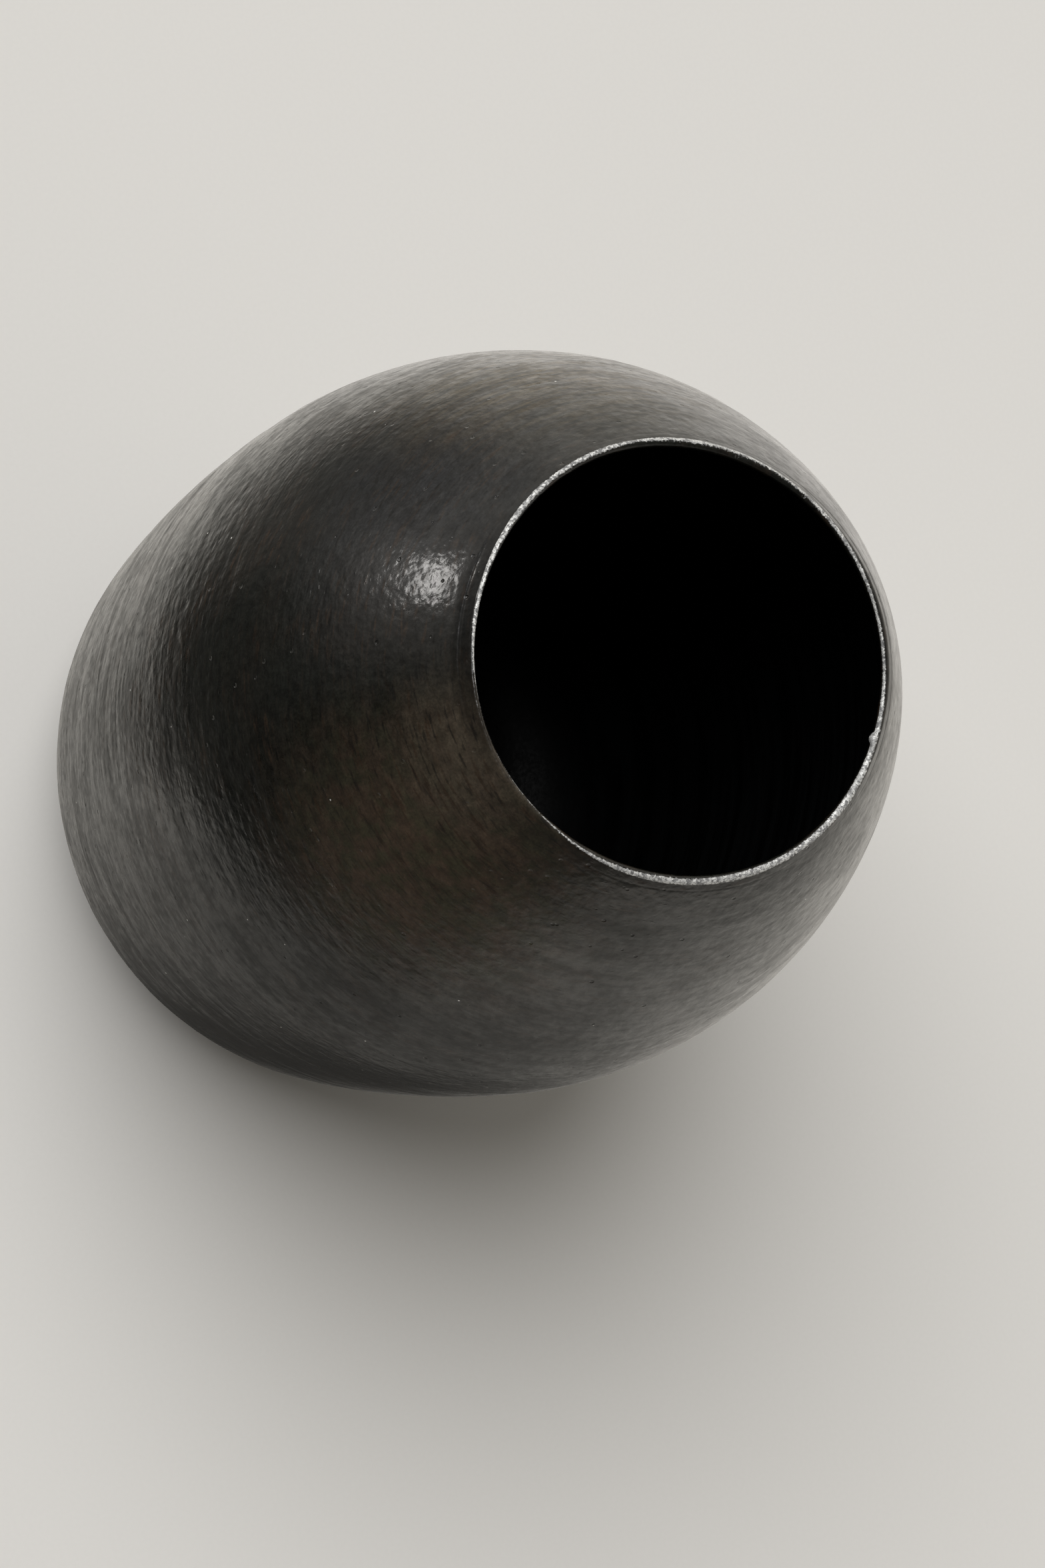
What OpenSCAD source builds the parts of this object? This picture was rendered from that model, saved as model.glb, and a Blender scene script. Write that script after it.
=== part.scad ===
// Hand-built black clay pot: a tall egg-shaped body with a flat foot and a wide mouth without a neck.
// The wall is one thick base disc, eight wall coils and a lip coil, each luted to the next on a
// sloping (scarfed) seam. Everything is a body of revolution about +Z. The origin is the centre
// of the foot. Sections are drawn with the radius along X and the height along Y.

/* [Body] */
// Height from the foot to the crest of the rim
height = 280; // [270:1:290]
// Greatest diameter, at the belly
belly_d = 205; // [196:1:214]
// Height of the greatest diameter above the foot
belly_z = 138; // [130:1:146]
// Radius of the long, nearly straight curve below the belly
flank_r = 880; // [700:10:1400]
// Radius of the rounded heel that turns the wall into the foot
heel_r = 46; // [40:1:52]

/* [Mouth] */
// Diameter of the mouth, on the crest of the rim
mouth_d = 110; // [100:1:120]
// Thickness of the rim, which is fully rounded
rim_t = 2.4; // [2:0.1:3.4]
// Distance from the rim to the tooled line that runs round the outside
groove_drop = 2.6; // [1.6:0.1:6]
// Radius of the tool that cut the line
groove_r = 0.5; // [0.3:0.1:0.8]
// Depth of the line
groove_depth = 0.3; // [0.1:0.05:0.5]

/* [Wall] */
// Thickness of the wall at the belly, from which it thins towards the rim
wall_t = 5.5; // [4.5:0.1:6.5]
// Thickness of the floor
floor_t = 7; // [6:0.1:8]

/* [Clay pieces] */
// Height to which the edge of the base disc is turned up
disc_h = 16; // [15:1:20]
// Height of the lip coil
lip_h = 16; // [12:1:22]
// How far each luted seam falls from the outside of the wall to the inside
seam_drop = 4; // [2:0.5:5]

/* [Hidden] */
$fn = 240;

// Clay colours, from the burnished belly to the worn rim
burnished = "#2b292a";
burnished_warm = "#302c2a";
burnished_cool = "#292a2d";
worn_rim = "#77787a";

belly_r = belly_d / 2;
mouth_r = mouth_d / 2;
rim_r = rim_t / 2;
wall_coils = 8;
coil_h = (height - disc_h - lip_h) / wall_coils;

// The centre of the rounded rim, and its height over the belly
rim_c = [mouth_r, height - rim_r];
rise = rim_c.y - belly_z;

// Arcs that meet overlap by this much, so that they cross cleanly and leave no sliver between them.
lap = 0.03;
function rounded(x) = round(100 * x) / 100;

// Shoulder arcs, one outside and one inside. Both stand upright at the belly and end beside the rim.
neck_r = rim_r - lap;
function shoulder_radius(in, side) =
    rounded((in * in + rise * rise - neck_r * neck_r) / (2 * (in + side * neck_r)));
out_r = shoulder_radius(belly_r - mouth_r, -1);
in_r = shoulder_radius(belly_r - wall_t - mouth_r, 1);
out_c = [belly_r - out_r, belly_z];
in_c = [belly_r - wall_t - in_r, belly_z];

// Heel arcs meet the flank arc from inside, and the foot (or the floor) from above.
function heel_centre(r_max, flank, heel, bottom) =
    [rounded(r_max - flank + sqrt(pow(flank - heel, 2) - pow(belly_z - bottom - heel, 2))), bottom + heel];
function heel_top(flank, heel, bottom) =
    rounded(belly_z - flank * (belly_z - bottom - heel) / (flank - heel));

// Radius of a face of the vessel at height z: the heel, the flank or the shoulder arc
function arc_x(c, r, z) = c.x + sqrt(r * r - pow(z - c.y, 2));
function face_x(z, r_max, shoulder, flank, heel, bottom) =
    z > belly_z ? arc_x([r_max - shoulder, belly_z], shoulder, z)
    : z > heel_top(flank, heel, bottom) ? arc_x([r_max - flank, belly_z], flank, z)
    : arc_x(heel_centre(r_max, flank, heel, bottom), heel, z);
function outer_x(z) = face_x(z, belly_r, out_r, flank_r, heel_r, 0);
function inner_x(z) = face_x(z, belly_r - wall_t, in_r, flank_r - wall_t, heel_r - wall_t, floor_t);

// Seam k rises from a point on the inner face to a point on the outer face. It is drawn past both.
seam_reach = 3;
heel_reach = 9;
function seam_z(k) = disc_h + k * coil_h;
function seam_out(k) = [outer_x(seam_z(k)), seam_z(k)];
function seam_in(k) = [inner_x(seam_z(k) - seam_drop), seam_z(k) - seam_drop];
function seam_dir(k) = (seam_out(k) - seam_in(k)) / norm(seam_out(k) - seam_in(k));
function past_out(k) = seam_out(k) + heel_reach * seam_dir(k);
function past_in(k) = seam_in(k) - seam_reach * seam_dir(k);

// Half of a solid egg: shoulder, flank and heel arcs, from height bottom up to the rim
module egg_2d(r_max, shoulder, flank, heel, bottom) {
    join_z = heel_top(flank, heel, bottom);
    heel_c = heel_centre(r_max, flank, heel, bottom);
    intersection() {
        translate([r_max - shoulder, belly_z]) circle(r = shoulder);
        translate([0, belly_z]) square([r_max + 1, height - belly_z]);
    }
    intersection() {
        translate([r_max - flank, belly_z]) circle(r = flank);
        translate([0, join_z]) square([r_max + 1, belly_z - join_z]);
    }
    intersection() {
        translate(heel_c) circle(r = heel + lap);
        translate([heel_c.x, bottom]) square([heel + 1, heel]);
    }
    translate([0, bottom]) square([heel_c.x, belly_z - bottom]);
}

// Section through the whole wall and the floor, below the rounded rim
module wall_2d() {
    difference() {
        egg_2d(belly_r, out_r, flank_r, heel_r, 0);
        egg_2d(belly_r - wall_t, in_r, flank_r - wall_t, heel_r - wall_t, floor_t);
    }
}

// The part of the wall between seam k and seam k + 1
module coil(k) {
    rotate_extrude() intersection() {
        wall_2d();
        polygon([past_in(k), past_out(k), past_out(k + 1), past_in(k + 1)]);
    }
}

// Floor and turned-up edge, in one disc of clay
module base_disc() {
    color(burnished_cool) rotate_extrude() intersection() {
        wall_2d();
        polygon([[0, -1], [belly_r, -1], past_out(0), past_in(0), [past_in(0).x, coil_h], [0, coil_h]]);
    }
}

module heel_coil() {
    color(burnished) coil(0);
}

module low_flank_coil() {
    color(burnished_warm) coil(1);
}

module high_flank_coil() {
    color(burnished) coil(2);
}

module low_belly_coil() {
    color(burnished_cool) coil(3);
}

module high_belly_coil() {
    color(burnished) coil(4);
}

module low_shoulder_coil() {
    color(burnished_warm) coil(5);
}

module high_shoulder_coil() {
    color(burnished_cool) coil(6);
}

module collar_coil() {
    color(burnished) coil(7);
}

// Last coil, thinned to a rounded rim, with a tooled line round the outside
module lip_coil() {
    out_dir = (rim_c - out_c) / norm(rim_c - out_c);
    in_dir = (rim_c - in_c) / norm(rim_c - in_c);
    groove_a = atan2(out_dir.y, out_dir.x) - groove_drop / out_r * 180 / PI;
    groove_at = out_r + groove_r - groove_depth;
    color(worn_rim) rotate_extrude() difference() {
        union() {
            intersection() {
                wall_2d();
                polygon([past_in(wall_coils), past_out(wall_coils), rim_c + 9 * out_dir, rim_c, rim_c - 9 * in_dir]);
            }
            translate(rim_c) circle(r = rim_r);
        }
        translate(out_c + groove_at * [cos(groove_a), sin(groove_a)]) circle(r = groove_r);
    }
}

base_disc();
heel_coil();
low_flank_coil();
high_flank_coil();
low_belly_coil();
high_belly_coil();
low_shoulder_coil();
high_shoulder_coil();
collar_coil();
lip_coil();
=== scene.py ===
"""A hand-built black clay pot, burnished outside, with a worn silvery rim.

Lengths are in metres in Python and in millimetres in the materials. Angles round the pot are in
degrees from +X towards +Y.
"""

import itertools
import math

import bpy
import numpy as np
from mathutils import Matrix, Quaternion, Vector


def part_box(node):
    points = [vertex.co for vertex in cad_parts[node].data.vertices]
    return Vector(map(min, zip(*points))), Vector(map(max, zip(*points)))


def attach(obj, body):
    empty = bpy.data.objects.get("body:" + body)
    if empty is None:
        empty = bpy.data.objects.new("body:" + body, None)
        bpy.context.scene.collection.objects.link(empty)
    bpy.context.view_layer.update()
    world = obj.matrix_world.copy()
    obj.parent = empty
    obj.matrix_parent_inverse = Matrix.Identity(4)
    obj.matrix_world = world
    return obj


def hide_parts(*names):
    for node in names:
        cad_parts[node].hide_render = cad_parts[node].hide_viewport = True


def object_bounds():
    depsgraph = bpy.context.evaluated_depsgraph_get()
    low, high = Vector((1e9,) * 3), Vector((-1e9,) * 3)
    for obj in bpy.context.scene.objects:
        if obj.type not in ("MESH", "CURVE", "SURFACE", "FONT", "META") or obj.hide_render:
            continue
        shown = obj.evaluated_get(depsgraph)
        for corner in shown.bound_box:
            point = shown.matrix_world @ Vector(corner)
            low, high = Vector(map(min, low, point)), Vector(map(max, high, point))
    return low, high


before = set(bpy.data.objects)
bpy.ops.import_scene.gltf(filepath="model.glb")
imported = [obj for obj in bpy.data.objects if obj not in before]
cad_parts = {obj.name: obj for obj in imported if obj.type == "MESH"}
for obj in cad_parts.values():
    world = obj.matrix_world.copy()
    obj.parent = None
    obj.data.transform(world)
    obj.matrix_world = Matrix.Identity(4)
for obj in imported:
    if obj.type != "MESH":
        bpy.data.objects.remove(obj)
cad_low, cad_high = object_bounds()

MM = 0.001
SEED = 41

# Sizes repeated from the CAD design
BELLY_Z = 138 * MM
FLANK_R = 880 * MM
HEEL_R = 46 * MM
MOUTH_R = 55 * MM
RIM_R = 1.2 * MM
GROOVE_DROP = 2.6 * MM
GROOVE_WIDTH = 0.55 * MM
GROOVE_DEPTH = 0.3 * MM
WALL_T = 5.5 * MM
FLOOR_T = 7 * MM
SEAM_DROP = 4 * MM

# Sizes read from the frame
HEIGHT = cad_high.z
BELLY_R = (cad_high.x - cad_low.x) / 2
RINGS = [
    "base_disc", "heel_coil", "low_flank_coil", "high_flank_coil", "low_belly_coil",
    "high_belly_coil", "low_shoulder_coil", "high_shoulder_coil", "collar_coil", "lip_coil",
]
SEAM_Z = [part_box(name)[1].z for name in RINGS[:-1]]

COLUMNS = 864

# Distances along the profile: the middle of the foot has coarse rows, and the rows get finer
# this far before the crest and stay fine this far after it.
FOOT_END = 45 * MM
LIP_START = 9 * MM
CREST_MARGIN = 0.5 * MM
LIP_END = 12 * MM

# The lip is pared back on the outside, in a facet this wide with this slope and a soft edge.
BEVEL_WIDTH = 4.6 * MM
BEVEL_SLOPE = 0.16
BEVEL_SOFT = 0.55 * MM

# Where round the mouth a small lump of clay sits on the inner edge of the rim, in degrees
LUMP_ANGLE = 51

# The sides where the outside is pared back most, and a little
PARED_ANGLE = -116
SLIGHTLY_PARED_ANGLE = 85

# The side that was worked least, so that its tool lines are the deepest
ROUGH_ANGLE = -90

# Out-of-round of the mouth, as cosine and sine amplitudes in mm of one wave, two waves and so on.
# A scratch program fitted these numbers to the rim's outline in the photograph.
MOUTH_WAVES = ((0.45, -0.07), (-0.61, 0.38), (-0.12, 0.07), (0.26, 0.06))


# ---------------------------------------------------------------- profile

def arc(centre, radius, start, end, side):
    """Points and normals on an arc, every 0.05 mm or so. side is 1 where the clay is inside it."""
    count = max(8, int(abs(end - start) * radius / (0.05 * MM)))
    a = np.linspace(start, end, count)
    normal = np.stack([np.cos(a), np.sin(a)], 1)
    return np.hstack([np.array(centre) + radius * normal, side * normal])


def line(start, end, normal):
    """Points and normals on a straight line."""
    t = np.linspace(0, 1, 400)[:, None]
    points = (1 - t) * np.array(start) + t * np.array(end)
    return np.hstack([points, np.tile(normal, (len(points), 1))])


def heel_centre(r_max, flank, heel, bottom):
    """Centre of the heel arc, which meets the flank arc from inside and the foot from above."""
    drop = BELLY_Z - bottom - heel
    return r_max - flank + math.sqrt((flank - heel) ** 2 - drop ** 2), bottom + heel


rim_z = HEIGHT - RIM_R
rise = rim_z - BELLY_Z


def shoulder_radius(inward, side):
    """Radius of an arc that is upright at the belly and ends beside the rim."""
    return (inward ** 2 + rise ** 2 - RIM_R ** 2) / (2 * (inward + side * RIM_R))


def face_arcs(r_max, shoulder, flank, heel, bottom, side):
    """Foot or floor, heel, flank and shoulder of one face, from the axis up to the rim."""
    heel_c = heel_centre(r_max, flank, heel, bottom)
    heel_end = -math.asin((BELLY_Z - heel_c[1]) / (flank - heel))
    rim_angle = math.atan2(rise, MOUTH_R - (r_max - shoulder))
    return [
        line((0, bottom), (heel_c[0], bottom), (0, -side)),
        arc(heel_c, heel, -math.pi / 2, heel_end, side),
        arc((r_max - flank, BELLY_Z), flank, heel_end, 0, side),
        arc((r_max - shoulder, BELLY_Z), shoulder, 0, rim_angle, side),
    ], rim_angle


outer_parts, outer_angle = face_arcs(
    BELLY_R, shoulder_radius(BELLY_R - MOUTH_R, -1), FLANK_R, HEEL_R, 0, 1)
inner_parts, inner_angle = face_arcs(
    BELLY_R - WALL_T, shoulder_radius(BELLY_R - WALL_T - MOUTH_R, 1), FLANK_R - WALL_T,
    HEEL_R - WALL_T, FLOOR_T, -1)
crest = arc((MOUTH_R, rim_z), RIM_R, outer_angle, inner_angle + math.pi, 1)
outer_path = np.vstack(outer_parts)
inner_path = np.vstack(inner_parts)[::-1]
path = np.vstack([outer_path, crest, inner_path])
steps = np.hypot(*np.diff(path[:, :2], axis=0).T)
keep = np.r_[True, steps > 1e-9]
path = path[keep]
path_s = np.r_[0, np.cumsum(np.hypot(*np.diff(path[:, :2], axis=0).T))]
crest_start = np.hypot(*np.diff(outer_path[:, :2], axis=0).T).sum()
crest_end = crest_start + RIM_R * (inner_angle + math.pi - outer_angle)
crest_s = (crest_start + crest_end) / 2


def s_at_height(z, outside):
    """Distance along the path where the outer or inner face is at height z."""
    part = path_s <= crest_s if outside else path_s > crest_s
    heights, along = path[part, 1], path_s[part]
    order = np.argsort(heights, kind="stable")
    return float(np.interp(z, heights[order], along[order]))


SEAM_OUT = [s_at_height(z, True) for z in SEAM_Z]
SEAM_IN = [s_at_height(z - SEAM_DROP, False) for z in SEAM_Z]
groove_s = crest_start - GROOVE_DROP


def row_gap(s):
    """Distance between rows of the mesh, finest on the rim and coarse inside."""
    if s < FOOT_END:
        return 3 * MM
    if s < crest_start - LIP_START:
        return 0.8 * MM
    if s < crest_start - CREST_MARGIN:
        return 0.28 * MM
    if s < crest_end + CREST_MARGIN:
        return 0.14 * MM
    if s < crest_end + LIP_END:
        return 0.7 * MM
    return 2.4 * MM


def row_positions():
    """Rows along the whole path. Every seam has a row, and rows are evenly spaced in between."""
    marks = sorted({
        0.0, FOOT_END, *SEAM_OUT, crest_start - LIP_START, crest_start - CREST_MARGIN,
        crest_end + CREST_MARGIN, crest_end + LIP_END, *SEAM_IN, path_s[-1]})
    rows = [0.0]
    for a, b in itertools.pairwise(marks):
        count = max(1, math.ceil((b - a) / row_gap((a + b) / 2) - 1e-6))
        rows.extend(a + (b - a) * np.arange(1, count + 1) / count)
    return np.array(rows)


row_s = row_positions()
ring_path = np.stack([np.interp(row_s, path_s, path[:, k]) for k in range(4)], 1)
theta = 2 * math.pi * np.arange(COLUMNS) / COLUMNS


# ---------------------------------------------------------------- handwork

def gradient_noise(points, seed):
    """Smooth noise of about -1 to 1 with one feature per unit, at an array of points."""
    rng = np.random.default_rng(SEED + seed)
    table = rng.permutation(256)
    slopes = rng.normal(size=(256, 3))
    slopes /= np.linalg.norm(slopes, axis=1, keepdims=True)
    cell = np.floor(points).astype(int)
    part = points - cell
    fade = part ** 3 * (part * (part * 6 - 15) + 10)
    total = np.zeros(points.shape[:-1])
    for corner in itertools.product((0, 1), repeat=3):
        code = table[(cell[..., 0] + corner[0]) & 255]
        code = table[(code + cell[..., 1] + corner[1]) & 255]
        code = table[(code + cell[..., 2] + corner[2]) & 255]
        weight = np.prod(np.where(corner, fade, 1 - fade), axis=-1)
        total += weight * ((part - corner) * slopes[code]).sum(-1)
    return 1.7 * total


around = np.stack([np.cos(theta), np.sin(theta)], 1)
grid_r = np.broadcast_to(ring_path[:, :1], (len(row_s), COLUMNS))
grid_s = np.broadcast_to(row_s[:, None], grid_r.shape)
ideal = np.stack([
    grid_r * around[:, 0], grid_r * around[:, 1],
    np.broadcast_to(ring_path[:, 1:2], grid_r.shape)], -1)


def turned(seed, turns, pitch):
    """Noise drawn out round the pot, with one feature each pitch up its wall."""
    points = np.stack([
        np.broadcast_to(turns * around[:, 0], grid_r.shape),
        np.broadcast_to(turns * around[:, 1], grid_r.shape),
        grid_s / pitch], -1)
    return gradient_noise(points, seed)


def spots(seed, along, up):
    """Noise with features along mm round the pot and up mm up its wall."""
    points = np.stack([
        grid_r * around[:, 0] / along, grid_r * around[:, 1] / along, grid_s / up], -1)
    return gradient_noise(points, seed)


def smoothstep(value, low, high):
    t = np.clip((value - low) / (high - low), 0, 1)
    return t * t * (3 - 2 * t)


def facing(angle, low, high):
    """1 on the side of the pot at this angle and 0 away from it, for each column."""
    return smoothstep(np.cos(theta - math.radians(angle)), low, high)


def outer_relief():
    """Height of the handwork on the outside, along the surface normal."""
    worked = smoothstep(gradient_noise(ideal / (48 * MM), 3), -0.6, 0.5)
    rough_side = facing(ROUGH_ANGLE, -0.2, 0.9)
    smooth_top = 1 - 0.75 * smoothstep(ideal[..., 2], 215 * MM, 258 * MM)
    rough_top = facing(170, 0.3, 0.9)
    worked = (0.3 + 0.7 * worked) * (0.75 + 0.75 * rough_side + 0.6 * rough_top) * smooth_top
    relief = 0.10 * MM * gradient_noise(ideal / (30 * MM), 4)
    relief += 0.030 * MM * gradient_noise(ideal / (11 * MM), 5)
    ringed = 1 - 0.65 * smoothstep(ideal[..., 2], 115 * MM, 160 * MM)
    relief += 0.110 * MM * rough_side * ringed * turned(20, 1.2, 12.0 * MM)
    relief += 0.115 * MM * ringed * worked * turned(6, 2.6, 5.2 * MM)
    relief += 0.060 * MM * ringed * worked * turned(7, 5.0, 2.6 * MM)
    relief += 0.034 * MM * worked * spots(13, 9.0 * MM, 5.0 * MM)
    relief += 0.052 * MM * (1.2 - ringed) * worked * spots(8, 3.4 * MM, 2.6 * MM)
    relief += 0.026 * MM * (1.2 - ringed) * worked * spots(19, 2.4 * MM, 2.0 * MM)
    relief += 0.022 * MM * spots(10, 3.6 * MM, 3.0 * MM)
    lumps = smoothstep(spots(9, 3.0 * MM, 1.8 * MM), 0.55, 0.95)
    return relief + 0.06 * MM * worked * lumps


def inner_relief():
    """Height of the finger rings left on the inside."""
    relief = 0.16 * MM * turned(11, 1.6, 7 * MM)
    return relief + 0.05 * MM * gradient_noise(ideal / (14 * MM), 12)


outside = 1 - smoothstep(grid_s, crest_start, crest_end)
relief = outside * outer_relief() + (1 - outside) * inner_relief()

# The rim swells and thins round the mouth, and has small chips.
near_crest = np.exp(-((grid_s - crest_s) / (2.0 * MM)) ** 2)
relief += near_crest * 0.10 * MM * turned(14, 2.2, 60 * MM)
relief += near_crest * 0.05 * MM * spots(15, 3.0 * MM, 2.2 * MM)
relief -= near_crest * 0.20 * MM * smoothstep(spots(16, 2.6 * MM, 2.2 * MM), 0.62, 1.05)

lump_away = np.hypot((theta - math.radians(LUMP_ANGLE)) * MOUTH_R, grid_s - crest_s - 1.3 * MM)
relief += 0.60 * MM * np.exp(-(lump_away / (1.2 * MM)) ** 2)

# The outside is pared back below the rim on two sides.
much_pared = facing(PARED_ANGLE, 0.78, 0.97)
slightly_pared = facing(SLIGHTLY_PARED_ANGLE, 0.55, 0.95)
below_rim = (grid_s - (crest_start - BEVEL_WIDTH)) / BEVEL_SOFT
pared = BEVEL_SLOPE * BEVEL_SOFT * np.logaddexp(0, np.minimum(below_rim, 40))
pared *= 0.05 + 0.95 * much_pared + 0.30 * slightly_pared
relief -= pared * (1 - smoothstep(grid_s, crest_start, crest_s + 0.3 * MM))

groove = np.exp(-((grid_s - groove_s) / (0.5 * GROOVE_WIDTH)) ** 2)
groove *= 0.25 + 0.75 * np.maximum(much_pared, slightly_pared)
relief -= 0.4 * GROOVE_DEPTH * groove
relief = np.where(grid_r < 1 * MM, 0, relief)


def out_of_round(waves):
    """Change of radius round the pot, from a pair of amplitudes in mm for each number of waves."""
    total = np.zeros(COLUMNS)
    for count, (cosine, sine) in enumerate(waves, start=1):
        total += cosine * np.cos(count * theta) + sine * np.sin(count * theta)
    return MM * total


normal_r = np.broadcast_to(ring_path[:, 2:3], grid_r.shape)
normal_z = np.broadcast_to(ring_path[:, 3:4], grid_r.shape)
flare = smoothstep(ideal[..., 2], HEIGHT - 70 * MM, HEIGHT) * out_of_round(MOUTH_WAVES)
surface = ideal.copy()
for axis in range(2):
    surface[..., axis] += (relief * normal_r + flare) * around[:, axis]
surface[..., 2] += relief * normal_z
foot = ideal[..., 2] <= 0.01 * MM
surface[foot, 2] = 0.02 * MM
surface[..., 2] = np.maximum(surface[..., 2], 0)


def surface_normals():
    """Outward unit normals of the worked surface, which runs on over every seam."""
    wrapped = np.concatenate([surface[:, -1:], surface, surface[:, :1]], 1)
    across = wrapped[:, 2:] - wrapped[:, :-2]
    along = np.gradient(surface, row_s, axis=0)
    found = np.cross(across, along)
    length = np.linalg.norm(found, axis=-1, keepdims=True)
    ring = np.stack([
        normal_r * around[:, 0], normal_r * around[:, 1], normal_z], -1)
    return np.where(length > 1e-12, found / np.maximum(length, 1e-12), ring)


normals = surface_normals()


# ---------------------------------------------------------------- meshes

def band_rows(start, end):
    """Numbers of the rows from one place on the path to another."""
    return np.flatnonzero((row_s > start - 1e-7) & (row_s < end + 1e-7))


class Shell:
    """Collects the faces of one closed clay ring, with a normal for each corner."""

    def __init__(self):
        self.points, self.faces, self.corner_normals, self.inside = [], [], [], []
        self.count = 0

    def add_rows(self, rows):
        """Adds whole rows of vertices, or one vertex for a row on the axis."""
        first = []
        for row in rows:
            first.append(self.count)
            block = surface[row] if ring_path[row, 0] > 1e-6 else surface[row].mean(0)[None]
            self.points.append(block)
            self.count += len(block)
        return first

    def add_band(self, rows, first):
        """Faces between neighbouring rows, with the normals of the whole surface."""
        ahead = (np.arange(COLUMNS) + 1) % COLUMNS
        now = np.arange(COLUMNS)
        for (a, fa), (b, fb) in itertools.pairwise(zip(rows, first)):
            mid_inside = row_s[b] > crest_end - 0.2 * MM
            if ring_path[a, 0] < 1e-6:
                self._triangles(fa, fb + now, fb + ahead, a, b, now, ahead, mid_inside)
            elif ring_path[b, 0] < 1e-6:
                self._triangles(fb, fa + ahead, fa + now, b, a, ahead, now, mid_inside)
            else:
                self.faces.append(np.stack([fa + now, fa + ahead, fb + ahead, fb + now], 1))
                self.corner_normals.append(np.stack(
                    [normals[a][now], normals[a][ahead], normals[b][ahead], normals[b][now]], 1))
                self.inside.append(np.full(COLUMNS, mid_inside))

    def _triangles(self, tip, left, right, tip_row, row, left_column, right_column, inside):
        self.faces.append(np.stack([np.full(COLUMNS, tip), right, left], 1))
        tip_normal = np.broadcast_to(normals[tip_row].mean(0), (COLUMNS, 3))
        self.corner_normals.append(np.stack(
            [tip_normal, normals[row][right_column], normals[row][left_column]], 1))
        self.inside.append(np.full(COLUMNS, inside))

    def add_seam(self, from_first, from_row, to_first, to_row):
        """Closes the ring between two rows, with the normal of the sloping seam."""
        ahead = (np.arange(COLUMNS) + 1) % COLUMNS
        now = np.arange(COLUMNS)
        self.faces.append(np.stack(
            [from_first + now, from_first + ahead, to_first + ahead, to_first + now], 1))
        a, b = surface[from_row], surface[to_row]
        cross = np.cross(a[ahead] - a[now], b[now] - a[now])
        cross /= np.linalg.norm(cross, axis=1, keepdims=True)
        smooth = cross + cross[(now - 1) % COLUMNS]
        smooth /= np.linalg.norm(smooth, axis=1, keepdims=True)
        self.corner_normals.append(np.stack(
            [smooth[now], smooth[ahead], smooth[ahead], smooth[now]], 1))
        self.inside.append(np.full(COLUMNS, True))

    def mesh(self, name):
        """The finished mesh."""
        data = bpy.data.meshes.new(name)
        points = np.concatenate(self.points)
        sizes = np.concatenate([np.full(len(f), f.shape[1]) for f in self.faces])
        corners = np.concatenate([f.ravel() for f in self.faces])
        data.vertices.add(len(points))
        data.vertices.foreach_set("co", points.ravel())
        data.loops.add(len(corners))
        data.loops.foreach_set("vertex_index", corners)
        data.polygons.add(len(sizes))
        data.polygons.foreach_set("loop_start", np.r_[0, np.cumsum(sizes)[:-1]])
        data.polygons.foreach_set("use_smooth", np.ones(len(sizes), bool))
        data.polygons.foreach_set("material_index", np.concatenate(self.inside).astype(np.int32))
        data.update(calc_edges=True)
        data.validate()
        found = np.concatenate([c.reshape(-1, 3) for c in self.corner_normals])
        data.normals_split_custom_set(found)
        return data


def ring_mesh(index, name):
    """One closed ring: its outside, upper seam, inside and lower seam."""
    shell = Shell()
    low_out = 0.0 if index == 0 else SEAM_OUT[index - 1]
    low_in = path_s[-1] if index == 0 else SEAM_IN[index - 1]
    if index == len(RINGS) - 1:
        rows = band_rows(low_out, low_in)
        first = shell.add_rows(rows)
        shell.add_band(rows, first)
        shell.add_seam(first[-1], rows[-1], first[0], rows[0])
        return shell.mesh(name)
    out_rows = band_rows(low_out, SEAM_OUT[index])
    in_rows = band_rows(SEAM_IN[index], low_in)
    out_first = shell.add_rows(out_rows)
    in_first = shell.add_rows(in_rows)
    shell.add_band(out_rows, out_first)
    shell.add_seam(out_first[-1], out_rows[-1], in_first[0], in_rows[0])
    shell.add_band(in_rows, in_first)
    if index:
        shell.add_seam(in_first[-1], in_rows[-1], out_first[0], out_rows[0])
    return shell.mesh(name)


# ---------------------------------------------------------------- materials

def rgb(r, g, b):
    return (r, g, b, 1.0)


# Colours of the clay outside
COOL_BLACK = rgb(0.0080, 0.0087, 0.0071)
WARM_BLACK = rgb(0.0098, 0.0083, 0.0062)
BLUE_GREY = rgb(0.0170, 0.0176, 0.0196)
GREENISH_BROWN = rgb(0.0400, 0.0350, 0.0190)
REDDISH_BROWN = rgb(0.0570, 0.0370, 0.0235)
TAN = rgb(0.0640, 0.0500, 0.0350)
OLIVE = rgb(0.0750, 0.0560, 0.0290)
RUST = rgb(0.0280, 0.0165, 0.0095)
SOOT = rgb(0.0050, 0.0048, 0.0044)
GRIT = rgb(0.90, 0.88, 0.84)
WHITE = rgb(1.0, 1.0, 1.0)

# Colours of the clay inside, and of the painted glint on its finger rings
INSIDE_DARK = rgb(0.0020, 0.0023, 0.0024)
INSIDE_RING_GLINT = rgb(0.0090, 0.0100, 0.0104)

# Colours of the crest, partly wear and partly painted glint
DULL_SILVER = rgb(0.22, 0.22, 0.22)
BRIGHT_SILVER = rgb(0.80, 0.80, 0.78)
SILVER_DUST = rgb(0.10, 0.098, 0.094)

# Colours of the floor
PAPER_DARK = rgb(0.778, 0.762, 0.732)
PAPER_LIGHT = rgb(0.786, 0.770, 0.740)

# Optical index of the clay and of its rubbed skin, and the roughness of the skin
CLAY_IOR = 1.45
SKIN_ROUGHNESS = 0.13


def direction(angle):
    """Unit vector at this angle round the pot."""
    return (math.cos(math.radians(angle)), math.sin(math.radians(angle)), 0.0)


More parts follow.
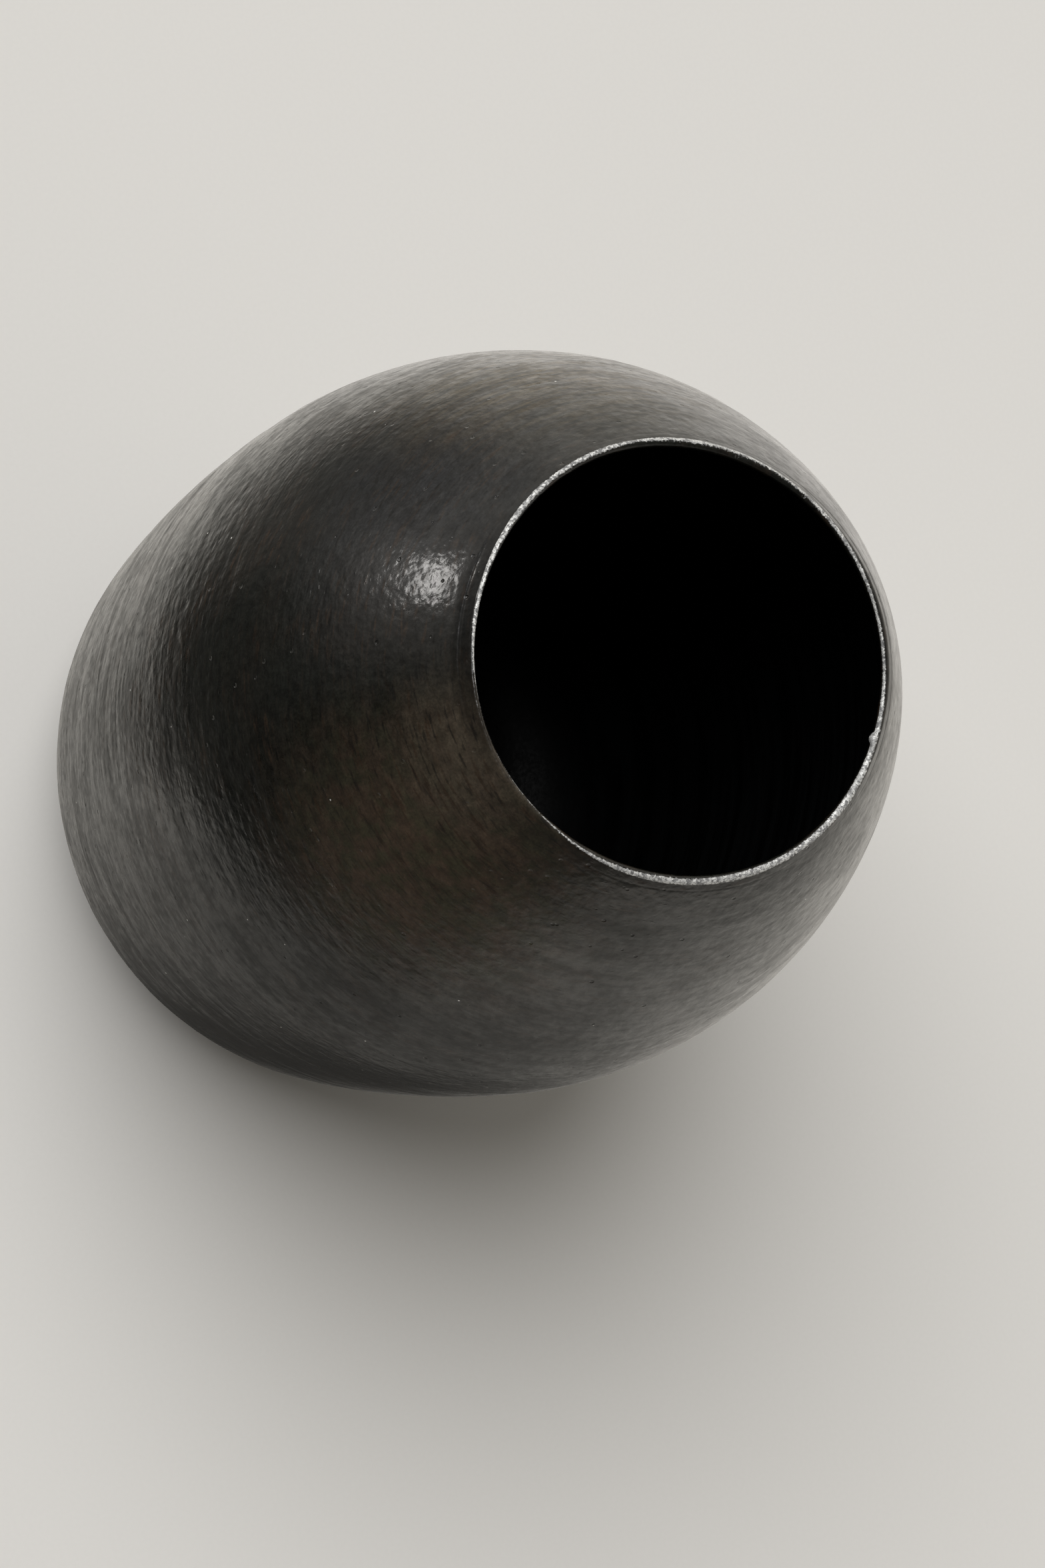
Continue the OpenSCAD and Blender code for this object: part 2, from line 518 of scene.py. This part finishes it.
class Nodes:
    """Short calls that add nodes to one tree."""

    def __init__(self, tree):
        self.tree = tree
        tree.nodes.clear()

    def add(self, kind, inputs=(), **settings):
        node = self.tree.nodes.new(kind)
        for key, value in settings.items():
            setattr(node, key, value)
        for key, value in dict(inputs).items():
            self.put(node.inputs[key], value)
        return node

    def put(self, socket, value):
        if isinstance(value, bpy.types.NodeSocket):
            self.tree.links.new(value, socket)
        else:
            socket.default_value = value

    def math(self, operation, a, b=0.0, c=0.0):
        node = self.add("ShaderNodeMath", {0: a, 1: b, 2: c}, operation=operation)
        return node.outputs[0]

    def product(self, *values):
        """All the values multiplied together."""
        total = values[0]
        for value in values[1:]:
            total = self.math("MULTIPLY", total, value)
        return total

    def weighted(self, parts, total=0.0):
        """Sum of values, each times its share, on top of total."""
        for value, share in parts:
            total = self.math("MULTIPLY_ADD", value, share, total)
        return total

    def vector(self, operation, a, b=None, scale=None):
        node = self.add("ShaderNodeVectorMath", {0: a}, operation=operation)
        if b is not None:
            self.put(node.inputs[1], b)
        if scale is not None:
            self.put(node.inputs["Scale"], scale)
        return node.outputs["Value" if operation in ("LENGTH", "DISTANCE", "DOT_PRODUCT") else 0]

    def join(self, x=0.0, y=0.0, z=0.0):
        return self.add("ShaderNodeCombineXYZ", {0: x, 1: y, 2: z}).outputs[0]

    def step(self, value, low, high, to_low=0.0, to_high=1.0):
        """Smooth change from to_low, where value is low, to to_high, where it is high."""
        node = self.add("ShaderNodeMapRange", {
            "Value": value, "From Min": low, "From Max": high, "To Min": to_low, "To Max": to_high},
            interpolation_type="SMOOTHSTEP")
        return node.outputs[0]

    def noise(self, vector, scale, detail=2.0, roughness=0.5, distortion=0.0):
        node = self.add("ShaderNodeTexNoise", {
            "Vector": vector, "Scale": scale, "Detail": detail, "Roughness": roughness,
            "Distortion": distortion})
        return node.outputs[0]

    def cells(self, vector, scale):
        """Distance from the middle of each cell, and a number from 0 to 1 for each cell."""
        node = self.add("ShaderNodeTexVoronoi", {"Vector": vector, "Scale": scale})
        pick = self.add("ShaderNodeSeparateColor", {0: node.outputs["Color"]})
        return node.outputs["Distance"], pick.outputs[0]

    def mix(self, factor, a, b):
        node = self.add("ShaderNodeMix", data_type="RGBA", blend_type="MIX", clamp_factor=True)
        self.put(node.inputs["Factor"], factor)
        self.put(node.inputs[6], a)
        self.put(node.inputs[7], b)
        return node.outputs[2]

    def bump(self, height, distance, strength, normal=None):
        node = self.add("ShaderNodeBump", {
            "Height": height, "Distance": distance, "Strength": strength})
        if normal is not None:
            self.put(node.inputs["Normal"], normal)
        return node.outputs[0]


class ClayNodes(Nodes):
    """Nodes of a clay material. Places on the pot are in mm."""

    def __init__(self, tree):
        super().__init__(tree)
        metres = self.add("ShaderNodeTexCoord").outputs["Object"]
        self.place = self.vector("SCALE", metres, scale=1 / MM)
        self.height = self.add("ShaderNodeSeparateXYZ", {0: self.place}).outputs[2]
        flat = self.vector("MULTIPLY", self.place, (1.0, 1.0, 0.0))
        self.radius = self.vector("LENGTH", flat)
        self.turn = self.vector("NORMALIZE", flat)
        # This grows up the wall and inwards across the foot, where height alone doesn't change.
        self.climb = self.math("SUBTRACT", self.height, self.math("MULTIPLY", self.radius, 0.5))

    def streaks(self, turns, pitch, detail=2.0, roughness=0.5):
        """Noise drawn out round the pot, with one feature each pitch up the wall."""
        up = self.join(z=self.math("DIVIDE", self.climb, pitch))
        vector = self.vector("ADD", self.vector("SCALE", self.turn, scale=turns), up)
        return self.noise(vector, 1.0, detail, roughness)

    def dashes(self, along, up, detail=1.0):
        """Noise of short strokes, along round the pot and up in height."""
        flat = self.vector("MULTIPLY", self.place, (1.0 / along, 1.0 / along, 0.0))
        vector = self.vector("ADD", flat, self.join(z=self.math("DIVIDE", self.climb, up)))
        return self.noise(vector, 1.0, detail)

    def side(self, angle, low, high, away=0.0, towards=1.0):
        """Smooth change round the pot: towards on the side at this angle, and away elsewhere."""
        facing_it = self.vector("DOT_PRODUCT", self.turn, direction(angle))
        return self.step(facing_it, low, high, away, towards)

    def distance(self, angle, radius, height):
        """Distance from one place."""
        x, y, _ = direction(angle)
        return self.vector("DISTANCE", self.place, (radius * x, radius * y, height))

    def patch(self, angle, height, size, soft):
        """1 in a round patch on the wall at this angle and height, fading over soft."""
        along = max(0.0, (height - BELLY_Z / MM) / (rise / MM))
        radius = (BELLY_R - (BELLY_R - MOUTH_R) * along ** 2) / MM
        return self.step(self.distance(angle, radius, height), size + soft, size - soft)

    def specks(self, vector, scale, core, edge, share):
        """Round specks, 1 within core and 0 beyond edge, in cells whose number is over share."""
        away, pick = self.cells(vector, scale)
        return self.product(self.step(away, edge, core), self.step(pick, share, share + 0.005))


def new_material(name, kind=ClayNodes):
    """A material with its node helper and its shader."""
    material = bpy.data.materials.new(name)
    material.use_nodes = True
    n = kind(material.node_tree)
    shader = n.add("ShaderNodeBsdfPrincipled")
    output = n.add("ShaderNodeOutputMaterial")
    n.tree.links.new(shader.outputs[0], output.inputs[0])
    return material, n, shader


def fill(n, shader, **values):
    """Sets sockets of the shader, whose names are written with underscores."""
    for name, value in values.items():
        n.put(shader.inputs[name.replace("_", " ")], value)


def clay_colour(n):
    """Smoke-blackened clay: cool black, with warm and olive clouds where the smoke was thin."""
    clouds = n.noise(n.place, 0.028, 3.0, 0.55, 0.6)
    fine = n.noise(n.place, 0.35, 3.0, 0.6)
    grain = n.noise(n.place, 1.5, 2.0, 0.7)
    ring = n.streaks(2.2, 4.0, 3.0, 0.6)
    line = n.streaks(5.0, 2.4, 2.0, 0.6)
    stroke = n.dashes(7.0, 1.4, 2.0)

    breakup = n.math("MULTIPLY_ADD", ring, 0.35, clouds)
    colour = n.mix(n.step(breakup, 0.50, 0.85), COOL_BLACK, WARM_BLACK)
    cool = n.product(n.patch(-143, 256, 30, 26), n.step(clouds, 0.3, 0.6, 1.0, 0.6))
    colour = n.mix(cool, colour, BLUE_GREY)

    # The brown cloud beside the mouth, with a paler spot at the rim
    warm = n.product(
        n.patch(-65, 244, 35, 26), n.step(line, 0.30, 0.62, 0.80, 1.0),
        n.step(fine, 0.25, 0.75, 0.90, 1.05))
    mottle = n.noise(n.place, 0.17, 3.0, 0.65)
    brown = n.mix(n.step(mottle, 0.38, 0.62), GREENISH_BROWN, REDDISH_BROWN)
    colour = n.mix(warm, colour, brown)
    glow = n.product(n.patch(-85, 272, 15, 14), n.step(fine, 0.25, 0.75, 0.64, 0.76))
    colour = n.mix(glow, colour, TAN)

    # The streaked olive cloud on the other side
    olive = n.product(
        n.patch(166, 228, 36, 32), n.step(line, 0.36, 0.58, 0.10, 1.0),
        n.step(stroke, 0.3, 0.7, 0.6, 1.2))
    colour = n.mix(olive, colour, OLIVE)

    rust = n.product(n.step(stroke, 0.54, 0.70), n.step(clouds, 0.40, 0.60, 0.15, 0.75))
    colour = n.mix(rust, colour, RUST)
    soot = n.product(
        n.step(n.dashes(5.0, 1.1), 0.58, 0.72), n.step(warm, 0.0, 1.0, 0.7, 0.35))
    colour = n.mix(soot, colour, SOOT)

    tone = n.product(
        n.step(ring, 0.3, 0.7, 0.85, 1.15), n.step(fine, 0.3, 0.7, 0.72, 1.28),
        n.step(grain, 0.3, 0.7, 0.72, 1.28))
    tone = n.mix(n.product(n.math("MAXIMUM", warm, glow), 0.55), tone, WHITE)
    # Painted shade: the colour is darkened to half on the pared side, in the facet just below the
    # rim, for the dark reflection there.
    facet_painted_shade = n.side(PARED_ANGLE, 0.78, 0.95, 1.0, 0.5)
    near_rim = n.step(n.height, (HEIGHT - BEVEL_WIDTH) / MM, (HEIGHT - 0.5 * BEVEL_WIDTH) / MM)
    tone = n.mix(near_rim, tone, n.product(tone, facet_painted_shade))
    return n.vector("SCALE", colour, scale=tone)


def clay_bump(n, strength=1.0):
    """Tool lines, strokes, grain and pits. The tool lines fade towards the mouth."""
    fade = n.product(
        n.side(ROUGH_ANGLE, -0.2, 0.9, 0.8, 1.7), n.step(n.height, 215.0, 258.0, 1.0, 0.25))
    lines = n.product(n.streaks(5.0, 1.7, 1.0, 0.5), fade)
    strokes = n.product(n.dashes(4.5, 1.5, 1.0), fade)
    grain = n.noise(n.place, 0.45, 1.0, 0.45)
    dust = n.noise(n.place, 1.3, 1.0)
    ticks = n.step(n.dashes(2.2, 0.8, 0.0), 0.73, 0.85)
    pits = n.specks(n.vector("ADD", n.place, (31.0, 7.0, 3.0)), 0.34, 0.10, 0.24, 0.90)
    total = n.weighted((
        (lines, 0.26), (strokes, 0.45), (grain, 1.15), (dust, 0.22), (ticks, 0.20), (pits, -1.6)))
    return n.bump(total, 0.10 * MM, strength)


def rubbed_sheen(n, shader, wear_and_glint=0.0):
    """Gloss from rubbing with a stone: a sharp shine over a softer one, with duller bands."""
    rubbed = n.noise(n.place, 0.07, 3.0, 0.6)
    band = n.streaks(3.0, 3.2, 3.0, 0.6)
    mottle = n.noise(n.place, 0.36, 2.0, 0.6)
    broad = n.math("SUBTRACT", n.streaks(1.3, 9.0, 1.0), 0.5)
    dull = n.weighted(((band, 0.35), (mottle, 0.36), (broad, 0.20)), n.product(rubbed, 0.35))
    contrast = n.side(-120, -0.1, 0.8, 0.62, 1.0)
    dull = n.math("MULTIPLY_ADD", n.math("SUBTRACT", dull, 0.53), contrast, 0.5)
    rough = n.step(dull, 0.40, 0.60, 0.25, 0.38)
    fill(
        n, shader, Roughness=n.math("MULTIPLY_ADD", wear_and_glint, 0.10, rough), IOR=CLAY_IOR,
        Specular_IOR_Level=0.25, Coat_Weight=n.step(dull, 0.60, 0.40, 0.45, 0.92),
        Coat_Roughness=SKIN_ROUGHNESS, Coat_IOR=CLAY_IOR)


def burnished_clay():
    """Outside of the wall."""
    material, n, shader = new_material("burnished_clay")
    grit = n.specks(n.place, 0.22, 0.035, 0.075, 0.90)
    bump = clay_bump(n)
    rubbed_sheen(n, shader)
    fill(n, shader, Base_Color=n.mix(grit, clay_colour(n), GRIT), Normal=bump, Coat_Normal=bump)
    return material


def smoked_inside():
    """Inside of the wall: matt and darker, with painted glints in bands along its finger rings."""
    material, n, shader = new_material("smoked_inside")
    # Painted glint: lighter bands of colour run round the inside, where finger rings would catch
    # light.
    rings = n.step(n.streaks(1.5, 5.0, 3.0, 0.6), 0.35, 0.65)
    grain = n.noise(n.place, 0.8, 4.0, 0.6)
    fill(
        n, shader, Base_Color=n.mix(rings, INSIDE_DARK, INSIDE_RING_GLINT),
        Roughness=n.step(grain, 0.35, 0.65, 0.42, 0.55), Specular_IOR_Level=0.18,
        Normal=clay_bump(n, 0.8))
    return material


def crest_wear_and_glint(n):
    """Where the crest of the rim is pale from wear and painted glint, in a ragged band that is
    wider on the foot side.
    """
    across = n.math("SUBTRACT", n.radius, MOUTH_R / MM)
    above = n.math("SUBTRACT", n.height, rim_z / MM)

    # Angle over the rounded rim, measured from the middle of the band
    over = n.math("SUBTRACT", n.math("ARCTAN2", above, across), 1.75)
    off_crest = n.math("ABSOLUTE", n.math("ADD", over, n.side(-8, 0.5, 0.95, 0.0, 0.35)))

    drift = n.noise(n.place, 0.05, 2.0)
    ragged = n.noise(n.place, 1.4, 3.0, 0.6)
    width = n.weighted(((drift, 0.8), (ragged, 0.9)), -0.33)
    for more in (
            n.side(125, 0.3, 0.9, 0.0, -0.14), n.side(5, 0.3, 1.0, 0.0, 0.30),
            n.side(-72, 0.70, 0.95, 0.0, -0.38)):
        width = n.math("ADD", width, more)

    # Nothing away from the rim gets the wear and painted glint, and the lump on its inner edge
    # does.
    wear_and_glint = n.step(n.math("SUBTRACT", off_crest, width), 0.10, -0.10)
    wear_and_glint = n.product(wear_and_glint, n.step(n.vector("LENGTH", n.join(across, above)), 2.2, 1.7))
    lump = n.distance(LUMP_ANGLE, MOUTH_R / MM - 1.2, rim_z / MM + 0.6)
    return n.math("MAXIMUM", wear_and_glint, n.step(lump, 1.7, 1.1))


def worn_lip():
    """The lip: the burnished clay of the wall, with pale silvery grains along the crest, partly
    wear and partly painted glint.
    """
    material, n, shader = new_material("worn_lip")
    wear_and_glint = crest_wear_and_glint(n)
    _, pick = n.cells(n.place, 1.5)
    silver = n.mix(n.step(pick, 0.05, 0.8), DULL_SILVER, BRIGHT_SILVER)
    dust = n.noise(n.place, 3.0, 3.0, 0.7)
    silver = n.mix(n.step(dust, 0.52, 0.36, 0.0, 0.85), silver, SILVER_DUST)
    chips = n.product(n.math("ADD", pick, dust), wear_and_glint)
    bump = n.bump(chips, 0.12 * MM, 0.9, clay_bump(n))
    rubbed_sheen(n, shader, wear_and_glint)
    fill(
        # Painted glint: the pale silver on the crest is partly wear and partly painted glint.
        n, shader, Base_Color=n.mix(wear_and_glint, clay_colour(n), silver),
        Metallic=n.product(wear_and_glint, n.step(pick, 0.3, 0.9, 0.0, 0.35)), Normal=bump,
        Coat_Normal=bump)
    return material


def plain_floor():
    """Matt off-white paper."""
    material, n, shader = new_material("floor_paper", Nodes)
    fibre = n.noise(n.add("ShaderNodeTexCoord").outputs["Object"], 700.0, 2.0)
    fill(
        n, shader, Base_Color=n.mix(n.step(fibre, 0.3, 0.7), PAPER_DARK, PAPER_LIGHT),
        Roughness=0.9, Specular_IOR_Level=0.1)
    return material


# ---------------------------------------------------------------- pieces

outside_clay = burnished_clay()
inside_clay = smoked_inside()
lip_clay = worn_lip()
for index, name in enumerate(RINGS):
    data = ring_mesh(index, name + "_clay")
    lip = name == "lip_coil"
    data.materials.append(lip_clay if lip else outside_clay)
    data.materials.append(inside_clay)
    piece = bpy.data.objects.new(name + "_clay", data)
    bpy.context.scene.collection.objects.link(piece)
    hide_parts(name)
    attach(piece, "root")


# ---------------------------------------------------------------- studio

# Half the width of the floor
FLOOR_HALF = 30.0

# The light that the camera sees where there is no floor
BACKDROP = rgb(0.68, 0.67, 0.65)

# Light of the room in reflections: of its walls, and for its openings the direction, the angles in
# degrees where each is full and where it ends, and its level. Later openings cover earlier ones.
# A scratch program fitted the light of the walls and of every opening but the last to the
# brightness of the pot in the photograph.
ROOM_TINT = (1.045, 1.0, 0.915)
ROOM_LIGHT = rgb(0.112, 0.108, 0.098)
OPENINGS = (
    ((-0.520, 0.843, 0.140), 60, 204, 0.610),
    ((0.602, -0.176, -0.779), 40, 51, 0.638),
    ((0.377, -0.116, -0.919), 0, 44, 0.163),
    ((0.255, 0.125, -0.959), 0, 17, 0.029),
    ((-0.501, -0.527, -0.686), 4, 30, 0.026),
    ((0.016, -0.925, -0.380), 15, 37, 0.006),
    ((0.510, -0.846, -0.153), 10, 45, 0.069),
    ((-0.815, -0.118, -0.567), 0, 28, 0.132),
    ((-0.018, -0.376, 0.926), 55, 67, 0.06),
)
GLARE_WAY = (-0.27, 0.60, -0.75)
GLARE_LIGHT = rgb(0.74, 0.71, 0.665)

# The overhead light comes from this way. Its angle is in degrees.
OVERHEAD_WAY = (-1.0, -0.25, 1.6)
OVERHEAD_ENERGY = 2.5
OVERHEAD_ANGLE = 50

# The window is a rectangle one metre from the place, in mm, where its highlight falls. The place
# was worked out from the highlight in the photograph with the fitted camera.
WINDOW_SIZE = (0.205, 0.105)
WINDOW_WAY = (-0.803, -0.584, -0.117)
WINDOW_RADIANCE = 11.3
WINDOW_TINT = (1.0, 0.975, 0.945)
HIGHLIGHT = (-38.5, -52.0, 266.8)

# The photograph's view: the camera's angle over the plane of the mouth and its roll, in degrees,
# its distance from the mouth, and where it aims, as a place along X and a share of the height.
# A scratch program fitted these to the outline and the mouth in the photograph.
CAMERA_ELEVATION = 64.91
CAMERA_ROLL = 73.27
CAMERA_DISTANCE = 908.9 * MM
AIM_X = 18.16 * MM
AIM_SHARE = 0.5495


def make_floor():
    """A wide sheet under the pot. The pot's sheen comes from the room and not from the sheet."""
    half = FLOOR_HALF
    corners = [(-half, -half, 0), (half, -half, 0), (half, half, 0), (-half, half, 0)]
    data = bpy.data.meshes.new("floor")
    data.from_pydata(corners, [], [(0, 1, 2, 3)])
    data.materials.append(plain_floor())
    floor = bpy.data.objects.new("floor", data)
    floor.visible_glossy = False
    bpy.context.scene.collection.objects.link(floor)


def lobe(n, way, centre, inner, outer):
    """1 within inner degrees of a direction and 0 beyond outer degrees."""
    towards = n.vector("DOT_PRODUCT", way, centre)
    return n.step(towards, math.cos(math.radians(outer)), math.cos(math.radians(inner)))


def make_room():
    """A pale room with a bright wall and a few darker openings, as the sheen shows it."""
    world = bpy.data.worlds.new("room")
    world.use_nodes = True
    world.cycles.sampling_method = "NONE"
    bpy.context.scene.world = world
    n = Nodes(world.node_tree)
    way = n.add("ShaderNodeTexCoord").outputs["Generated"]
    light = ROOM_LIGHT
    for centre, inner, outer, level in OPENINGS:
        colour = rgb(*(level * tint for tint in ROOM_TINT))
        light = n.mix(lobe(n, way, centre, inner, outer), light, colour)
    light = n.mix(lobe(n, way, Vector(GLARE_WAY).normalized(), 10, 26), light, GLARE_LIGHT)
    seen = n.add("ShaderNodeLightPath").outputs["Is Camera Ray"]
    light = n.mix(seen, light, BACKDROP)
    background = n.add("ShaderNodeBackground", {"Color": light, "Strength": 1.0})
    output = n.add("ShaderNodeOutputWorld")
    n.tree.links.new(background.outputs[0], output.inputs[0])


def add_light(name, kind, place, towards, energy, **settings):
    """A lamp that points at a place and that the camera doesn't see."""
    data = bpy.data.lights.new(name, kind)
    data.energy = energy
    for key, value in settings.items():
        setattr(data, key, value)
    lamp = bpy.data.objects.new(name, data)
    lamp.location = place
    lamp.rotation_mode = "QUATERNION"
    lamp.rotation_quaternion = (towards - place).to_track_quat("-Z", "Y")
    lamp.visible_camera = False
    bpy.context.scene.collection.objects.link(lamp)


def make_lights():
    """A broad soft overhead light and a small window that gives the highlight beside the mouth."""
    middle = (cad_low + cad_high) / 2
    add_light("overhead", "SUN", middle + Vector(OVERHEAD_WAY), middle, OVERHEAD_ENERGY,
              angle=math.radians(OVERHEAD_ANGLE))
    shine = Vector(HIGHLIGHT) * MM
    width, length = WINDOW_SIZE
    energy = WINDOW_RADIANCE * math.pi * width * length
    add_light("window", "AREA", shine + Vector(WINDOW_WAY).normalized(), shine, energy,
              shape="RECTANGLE", size=width, size_y=length, color=WINDOW_TINT)


def make_camera():
    """The photograph's view of the mouth, tilted as the pot is there."""
    mouth = Vector((0, 0, HEIGHT))
    elevation = math.radians(CAMERA_ELEVATION)
    away = Vector((0, -math.cos(elevation), math.sin(elevation)))
    data = bpy.data.cameras.new("camera")
    data.lens = 85
    data.sensor_width = 36
    camera = bpy.data.objects.new("camera", data)
    camera.location = mouth + CAMERA_DISTANCE * away
    aim = Vector((AIM_X, 0, AIM_SHARE * HEIGHT))
    level = (aim - camera.location).to_track_quat("-Z", "Y")
    camera.rotation_mode = "QUATERNION"
    camera.rotation_quaternion = level @ Quaternion((0, 0, 1), math.radians(CAMERA_ROLL))
    bpy.context.scene.collection.objects.link(camera)
    bpy.context.scene.camera = camera


make_floor()
make_room()
make_lights()
make_camera()
bpy.context.scene.view_settings.view_transform = "Standard"
